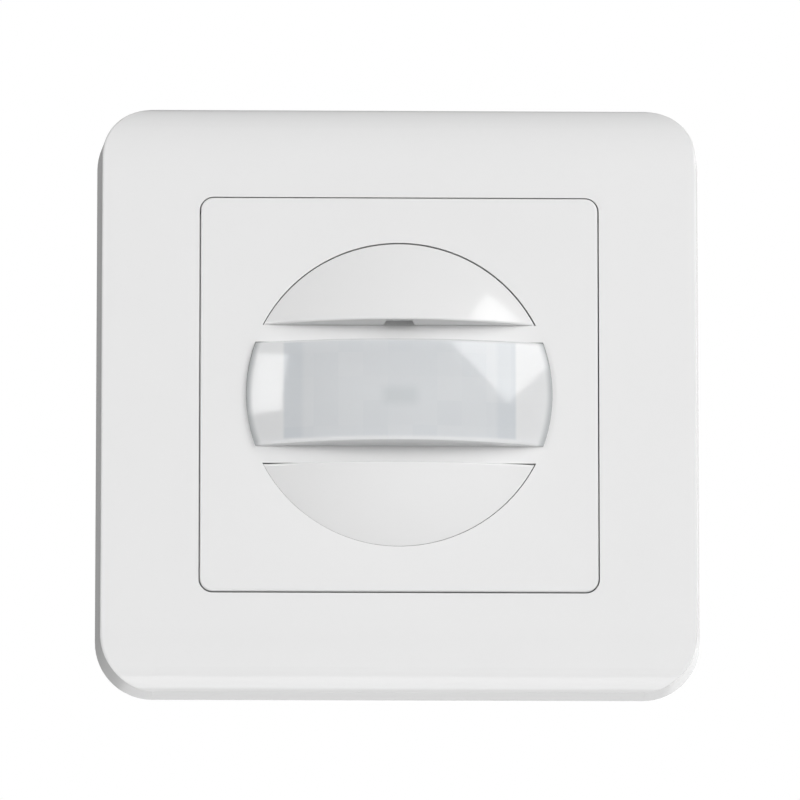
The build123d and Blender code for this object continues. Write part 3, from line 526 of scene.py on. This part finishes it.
@dataclass
class SubAssembly:
    """Pieces that are dressed together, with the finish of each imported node."""

    finishes: dict[str, Finish] = field(default_factory=dict)

    def dress(self) -> None:
        """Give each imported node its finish."""
        for node, finish in self.finishes.items():
            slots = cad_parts[node].data.materials
            slots.clear()
            slots.append(finish.material())
            log.info("dressed %s in %s", node, finish.name)

    def build(self) -> None:
        """Build the sub-assembly's own meshes, if it has any, and dress its nodes."""
        self.dress()


@dataclass
class FrontCovers(SubAssembly):
    """The white mouldings and the lens band that face the room.

    Args:
        plate_play: How far the plate sits off centre in the frame, to the right and up, in millimetres.
        cover_play: The same for the settings cover in its opening.
        button_play: The same for the push button.
        lens_play: The same for the lens.
        lens_spring: How far each end of the lens springs out towards its opening, in millimetres.
        lens_radius: Distance of its ends from the centre, in millimetres.
    """

    finishes: dict[str, Finish] = field(default_factory=lambda: {"cover_frame": GLOSS_WHITE})
    plate_play: tuple[float, float] = (0.0, 0.05)
    cover_play: tuple[float, float] = (-0.04, -0.05)
    button_play: tuple[float, float] = (-0.05, -0.02)
    lens_play: tuple[float, float] = (0.0, -0.03)
    lens_spring: float = 0.06
    lens_radius: float = 21.1

    def build(self) -> None:
        """Seat the plate, its lens and the two half-moons, and dress the frame."""
        self.seated("centre_plate", ROOT, GLOSS_WHITE, "white_plastic", self.plate_play)
        self.seated("settings_cover", "settings_cover", GLOSS_WHITE, "white_plastic", self.cover_play)
        self.seated("manual_button", "manual_button", GLOSS_WHITE, "white_plastic", self.button_play)
        widening = 1 + self.lens_spring / self.lens_radius
        self.seated("fresnel_lens", ROOT, LENS, "lens_plastic", self.lens_play, widening)
        self.dress()

    @staticmethod
    def merged(source: bpy.types.Mesh, name: str) -> bpy.types.Mesh:
        """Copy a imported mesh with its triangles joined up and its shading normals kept.

        Args:
            source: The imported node's mesh.
            name: The name of the copy.

        Returns:
            The closed copy.
        """
        mesh = source.copy()
        mesh.name = name
        kept = mesh.attributes.new("kept_normal", "FLOAT_VECTOR", "CORNER")
        normals = [0.0] * (3 * len(source.loops))
        source.corner_normals.foreach_get("vector", normals)
        kept.data.foreach_set("vector", normals)
        shape = bmesh.new()
        shape.from_mesh(mesh)
        bmesh.ops.remove_doubles(shape, verts=shape.verts, dist=MERGE_DISTANCE)
        shape.to_mesh(mesh)
        shape.free()
        carried = mesh.attributes["kept_normal"]
        mesh.normals_split_custom_set([tuple(item.vector) for item in carried.data])
        mesh.attributes.remove(mesh.attributes["kept_normal"])
        return mesh

    def seated(self, node: str, body: str, finish: Finish, slot: str, play: tuple[float, float],
               widening: float = 1.0) -> None:
        """Let a moulding rest where its play allows, as a real one does.

        Args:
            node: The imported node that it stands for.
            body: The body that it moves with.
            finish: What it is made of.
            slot: The name of that material; not used.
            play: How far it sits to the right and up, in millimetres.
            widening: How much wider it springs out.
        """
        mesh = self.merged(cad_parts[node].data, f"{node}_seated")
        move = Matrix.Translation((play[0] * MM, 0.0, play[1] * MM))
        mesh.transform(move @ Matrix.Diagonal((widening, 1.0, 1.0, 1.0)))
        piece = bpy.data.objects.new(f"{node}_seated", mesh)
        bpy.context.scene.collection.objects.link(piece)
        mesh.materials.clear()
        mesh.materials.append(finish.material())
        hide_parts(node)
        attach(piece, body)
        log.info("seated %s", node)


@dataclass
class SensorHead(SubAssembly):
    """The carrier with its board, sensor, dials and switches, and the scales printed round the dials.

    Args:
        dial_reach: Distance of the outer dials from the middle one, in millimetres.
        dial_level: Height of the dials above the centre, in millimetres.
        panel_front: How far the settings panel stands ahead of the wall, in millimetres.
        scale_inner: Radius at which the scale's ticks start, in millimetres.
        tick: Width, length and ink thickness of a tick, in millimetres.
        ticks: How many ticks a scale has.
        bold_every: Every how many ticks one is bold.
        bold_width: How much wider a bold tick is.
        sweep: How far a dial turns each way, in degrees.
        clear_radius: Distance from the centre past which the cover's skirt stands on the panel.
    """

    dial_reach: float = 9.6
    dial_level: float = 13.95
    panel_front: float = 9.0
    scale_inner: float = 3.12
    tick: tuple[float, float, float] = (0.16, 0.42, 0.012)
    ticks: int = 11
    bold_every: int = 5
    bold_width: float = 1.8
    sweep: float = 135.0
    clear_radius: float = 19.6
    finishes: dict[str, Finish] = field(default_factory=lambda: {
        "sensor_carrier": CARRIER, "sensor_board": LAMINATE, "carrier_screws": SCREW,
        "pir_base": NICKEL, "pir_can": NICKEL, "pir_window": FILTER,
        "light_sensor": CLEAR, "status_led": CLEAR,
        "time_trimmer_body": TRIMMER, "light_trimmer_body": TRIMMER, "range_trimmer_body": TRIMMER,
        "time_dial": DIAL, "light_dial": DIAL, "range_dial": DIAL,
        "mode_switch_body": BLACK, "mode_slider": DIAL, "tact_switch_body": BLACK, "tact_plunger": DIAL,
        "controller_chip": BLACK, "filter_capacitor": ALUMINIUM, "board_plug": BLACK, "plug_pins": BRASS})

    def build(self) -> None:
        """Print the scales and dress the nodes."""
        for name, side in (("time", -1), ("light", 0), ("range", 1)):
            self.scale(f"{name}_scale", side * self.dial_reach)
        self.dress()

    def scale(self, name: str, across: float) -> None:
        """Print one dial's ring of ticks on the settings panel.

        Args:
            name: The piece's name.
            across: How far the dial is to the right, in millimetres.
        """
        width, length, ink = self.tick
        shape = bmesh.new()
        for number in range(self.ticks):
            angle = math.radians(self.sweep * (2 * number / (self.ticks - 1) - 1))
            outer = Vector((across + (self.scale_inner + length) * math.sin(angle), 0.0,
                            self.dial_level + (self.scale_inner + length) * math.cos(angle)))
            if outer.length > self.clear_radius:
                continue
            bold = self.bold_width if number % self.bold_every == 0 else 1.0
            made = bmesh.ops.create_cube(shape, size=1.0)["verts"]
            bmesh.ops.scale(shape, verts=made, vec=(width * bold, ink, length))
            bmesh.ops.translate(shape, verts=made, vec=(0.0, 0.0, self.scale_inner + length / 2))
            bmesh.ops.rotate(shape, verts=made, matrix=Matrix.Rotation(angle, 3, "Y"))
            bmesh.ops.translate(shape, verts=made, vec=(across, -self.panel_front - ink / 2, self.dial_level))
        bmesh.ops.scale(shape, verts=shape.verts, vec=(MM, MM, MM))
        piece = fitted(name, shape, INK)
        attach(piece, ROOT)
        log.info("printed %s", name)


@dataclass
class WallFixing(SubAssembly):
    """The steel strap, its claws and their screws."""

    finishes: dict[str, Finish] = field(default_factory=lambda: {
        "support_strap": STEEL, "strap_screws": SCREW, "claw_pins": SCREW,
        "left_claw": STEEL, "right_claw": STEEL, "left_claw_screw": SCREW, "right_claw_screw": SCREW,
        "left_claw_nut": SCREW, "right_claw_nut": SCREW})


@dataclass
class PowerModule(SubAssembly):
    """The module in the wall box, with its board and terminals."""

    finishes: dict[str, Finish] = field(default_factory=lambda: {
        "power_cover": CARRIER, "power_housing": HOUSING, "power_board": LAMINATE, "power_socket": BLACK,
        "relay": RELAY, "film_capacitor": FILM, "storage_capacitor": SLEEVE, "choke_core": FERRITE,
        "choke_winding": COPPER, "varistor": VARISTOR, "fuse": BLACK, "rectifier": BLACK,
        "terminal_block": TERMINAL, "terminal_bars": BRASS,
        "terminal_cage_1": BRASS, "terminal_cage_2": BRASS, "terminal_cage_3": BRASS,
        "terminal_screw_1": SCREW, "terminal_screw_2": SCREW, "terminal_screw_3": SCREW})


def direction(azimuth: float, elevation: float) -> Vector:
    """The way from the switch towards a place in the room.

    Args:
        azimuth: Degrees to the right of straight ahead of the wall.
        elevation: Degrees above the horizon.

    Returns:
        A unit vector.
    """
    turn, rise = math.radians(azimuth), math.radians(elevation)
    return Vector((math.sin(turn) * math.cos(rise), -math.cos(turn) * math.cos(rise), math.sin(rise)))


@dataclass(frozen=True)
class Softbox:
    """A rectangular lamp that faces the switch.

    Args:
        name: What the lamp does.
        azimuth: Degrees to the right of straight ahead.
        elevation: Degrees above the horizon.
        distance: Metres from the switch.
        width: Metres across.
        height: Metres up and down.
        watts: Its power.
        turn: Degrees that it is turned about its own axis.
    """

    name: str
    azimuth: float
    elevation: float
    distance: float
    width: float
    height: float
    watts: float
    turn: float = 0.0

    def hang(self) -> None:
        """Put the lamp in its place, turned towards the switch."""
        data = bpy.data.lights.new(self.name, "AREA")
        data.shape = "RECTANGLE"
        data.size = self.width
        data.size_y = self.height
        data.energy = self.watts
        lamp = bpy.data.objects.new(self.name, data)
        way = direction(self.azimuth, self.elevation)
        lamp.location = way * self.distance
        lamp.rotation_mode = "QUATERNION"
        turned = Quaternion((0.0, 0.0, 1.0), math.radians(self.turn))
        lamp.rotation_quaternion = way.to_track_quat("Z", "Y") @ turned
        bpy.context.scene.collection.objects.link(lamp)
        log.info("hung %s", self.name)


@dataclass
class Studio:
    """The pale floor, the soft lamps, the white surroundings and the camera.

    Args:
        floor_depth: Metres from the switch's centre down to the floor.
        floor_reach: Half the floor's width, in metres.
        floor_lift: How much light it gives off by itself, to the rays that show it.
        camera_distance: Metres from the plate to the camera.
        camera_azimuth: Degrees that it stands to the right.
        camera_elevation: Degrees that it stands above.
        plate_front: Metres from the wall to the plate's face.
        pixels_per_mm: Scale of the picture at the plate.
        insert_centre_pixel: Where the plate's centre is in the picture, across and down.
        around: Strength of the light that comes from all round.
        brighter_towards: How much stronger it gets along X, Y and Z.
        ahead: How much stronger it is in the band ahead of the switch.
        ahead_towards: The way to the middle of that band.
        ahead_narrowing: How narrow the band is along X, Y and Z.
        card: Azimuth and elevation of the dark card, the distances over which it fades and its tone.
        card_narrowing: How narrow the card is along X, Y and Z.
        lamps: The soft lamps.
    """

    floor_depth: float = 0.30
    floor_reach: float = 1.5
    floor_lift: float = 0.50
    camera_distance: float = 1.2
    camera_azimuth: float = -1.3
    camera_elevation: float = -8.7
    plate_front: float = 11.0 * MM
    pixels_per_mm: float = 7.238
    insert_centre_pixel: tuple[float, float] = (399.3, 394.5)
    around: float = 0.14
    brighter_towards: tuple[float, float, float] = (0.08, 0.08, -0.04)
    ahead: float = 3.75
    ahead_towards: tuple[float, float, float] = (0.05, -1.0, 0.13)
    ahead_narrowing: tuple[float, float, float] = (0.60, 0.60, 3.6)
    card: tuple[float, float, float, float, float] = (-150.0, 14.0, 0.52, 0.66, 0.27)
    card_narrowing: tuple[float, float, float] = (1.0, 1.0, 0.5)
    lamps: tuple[Softbox, ...] = (
        Softbox("key_right", 43.4, 24.5, 1.0, 0.54, 0.50, 3.4, -51.0),
        Softbox("strip_left", -50.0, 12.0, 1.0, 0.21, 0.36, 1.3),
        Softbox("bounce_below", 180.0, -88.0, 0.28, 0.34, 0.17, 0.30),
        Softbox("back_side", 122.0, 4.0, 1.0, 0.9, 0.9, 3.5),
    )

    def build(self) -> None:
        """Set up everything that isn't the switch."""
        self.floor()
        self.world()
        for lamp in self.lamps:
            lamp.hang()
        self.camera()
        bpy.context.scene.view_settings.view_transform = "Standard"

    def floor(self) -> None:
        """A pale floor below the switch, seen from above only."""
        mesh = bpy.data.meshes.new("floor")
        shape = bmesh.new()
        bmesh.ops.create_grid(shape, x_segments=1, y_segments=1, size=self.floor_reach)
        bmesh.ops.translate(shape, verts=shape.verts, vec=(0.0, 0.0, -self.floor_depth))
        shape.to_mesh(mesh)
        shape.free()
        floor = bpy.data.objects.new("floor", mesh)
        bpy.context.scene.collection.objects.link(floor)
        material = bpy.data.materials.new("pale_floor")
        tree = empty_tree(material)
        paint = add(tree, "ShaderNodeBsdfDiffuse", {"Color": linear(FLOOR_SHADE)}).outputs[0]
        lift = add(tree, "ShaderNodeMath", {"operation": "MULTIPLY", 1: self.floor_lift},
                   {0: self.shown(tree)}).outputs[0]
        glow = add(tree, "ShaderNodeEmission", {"Color": linear(WHITE)}, {"Strength": lift}).outputs[0]
        pale = add(tree, "ShaderNodeAddShader", {}, {0: paint, 1: glow}).outputs[0]
        clear = add(tree, "ShaderNodeBsdfTransparent")
        back = add(tree, "ShaderNodeNewGeometry").outputs["Backfacing"]
        mix = add(tree, "ShaderNodeMixShader", {}, {0: back, 1: pale, 2: clear.outputs[0]})
        add(tree, "ShaderNodeOutputMaterial", {}, {"Surface": mix.outputs[0]})
        mesh.materials.append(material)
        log.info("laid the floor")

    def world(self) -> None:
        """White behind the switch with a dark card in it, and softer light from all round."""
        world = bpy.data.worlds.new("studio")
        bpy.context.scene.world = world
        tree = empty_tree(world)
        ray = add(tree, "ShaderNodeLightPath").outputs
        way = add(tree, "ShaderNodeTexCoord").outputs["Generated"]
        lean = add(tree, "ShaderNodeVectorMath",
                   {"operation": "DOT_PRODUCT", 1: self.brighter_towards}, {0: way}).outputs["Value"]
        away = self.distance(tree, way, self.ahead_towards, self.ahead_narrowing)
        brightest = self.around + self.ahead
        front = add(tree, "ShaderNodeMapRange",
                    {"interpolation_type": "SMOOTHSTEP", 3: brightest, 4: self.around}, {0: away})
        glow = add(tree, "ShaderNodeMath", {"operation": "ADD"}, {0: lean, 1: front.outputs[0]})
        room = add(tree, "ShaderNodeBackground", {"Color": linear(WHITE)}, {"Strength": glow.outputs[0]})
        azimuth, elevation, inner, outer, shade = self.card
        apart = self.distance(tree, way, tuple(direction(azimuth, elevation)), self.card_narrowing)
        carded = add(tree, "ShaderNodeMapRange",
                     {"interpolation_type": "SMOOTHSTEP", 1: inner, 2: outer, 3: shade},
                     {0: apart}).outputs[0]
        level = add(tree, "ShaderNodeMath", {"operation": "MAXIMUM"},
                    {0: ray["Is Camera Ray"], 1: carded}).outputs[0]
        white = add(tree, "ShaderNodeBackground", {"Color": linear(WHITE)}, {"Strength": level})
        mix = add(tree, "ShaderNodeMixShader", {},
                  {0: self.shown(tree), 1: room.outputs[0], 2: white.outputs[0]})
        add(tree, "ShaderNodeOutputWorld", {}, {"Surface": mix.outputs[0]})

    @staticmethod
    def distance(tree: bpy.types.NodeTree, way: bpy.types.NodeSocket, centre: tuple[float, float, float],
                 narrowing: tuple[float, float, float]) -> bpy.types.NodeSocket:
        """How far a direction is from a patch of the surroundings.

        Args:
            tree: The node tree.
            way: The direction as a unit vector.
            centre: The middle of the patch, as a direction.
            narrowing: How much smaller the patch is along X, Y and Z than a unit across.

        Returns:
            The distance as a socket.
        """
        aside = add(tree, "ShaderNodeVectorMath", {"operation": "SUBTRACT", 1: centre}, {0: way})
        narrowed = add(tree, "ShaderNodeVectorMath", {"operation": "MULTIPLY", 1: narrowing},
                       {0: aside.outputs["Vector"]})
        return add(tree, "ShaderNodeVectorMath", {"operation": "LENGTH"},
                   {0: narrowed.outputs["Vector"]}).outputs["Value"]

    def shown(self, tree: bpy.types.NodeTree) -> bpy.types.NodeSocket:
        """One for the camera's rays and for those that gloss and glass pass on, nought for the rest.

        Args:
            tree: The node tree.

        Returns:
            The one or nought as a socket.
        """
        ray = add(tree, "ShaderNodeLightPath").outputs
        mirrored = add(tree, "ShaderNodeMath", {"operation": "MAXIMUM"},
                       {0: ray["Is Glossy Ray"], 1: ray["Is Transmission Ray"]}).outputs[0]
        return add(tree, "ShaderNodeMath", {"operation": "MAXIMUM"},
                   {0: ray["Is Camera Ray"], 1: mirrored}).outputs[0]

    def camera(self) -> None:
        """Look from a little below, as the photograph does, with the plate at its size there."""
        back = direction(self.camera_azimuth, self.camera_elevation)
        data = bpy.data.cameras.new("camera")
        millimetres_seen = IMAGE_SIZE / self.pixels_per_mm
        data.lens = data.sensor_width * self.camera_distance / (millimetres_seen * MM)
        camera = bpy.data.objects.new("camera", data)
        camera.rotation_mode = "QUATERNION"
        camera.rotation_quaternion = back.to_track_quat("Z", "Y")
        right = camera.rotation_quaternion @ Vector((1.0, 0.0, 0.0))
        up = camera.rotation_quaternion @ Vector((0.0, 1.0, 0.0))
        across, down = (p - IMAGE_SIZE / 2 for p in self.insert_centre_pixel)
        insert = Vector((0.0, -self.plate_front, 0.0))
        aim = insert - (right * across - up * down) * MM / self.pixels_per_mm
        camera.location = aim + back * self.camera_distance
        data.clip_start, data.clip_end = CLIPPING
        bpy.context.scene.collection.objects.link(camera)
        bpy.context.scene.camera = camera
        log.info("set up the camera")


def main() -> None:
    """Build and dress the switch and its studio."""
    logging.basicConfig(level=logging.INFO, format="%(name)s: %(message)s")
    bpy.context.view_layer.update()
    for assembly in (FrontCovers(), SensorHead(), WallFixing(), PowerModule()):
        assembly.build()
    Studio().build()


if __name__ == "__main__":
    main()
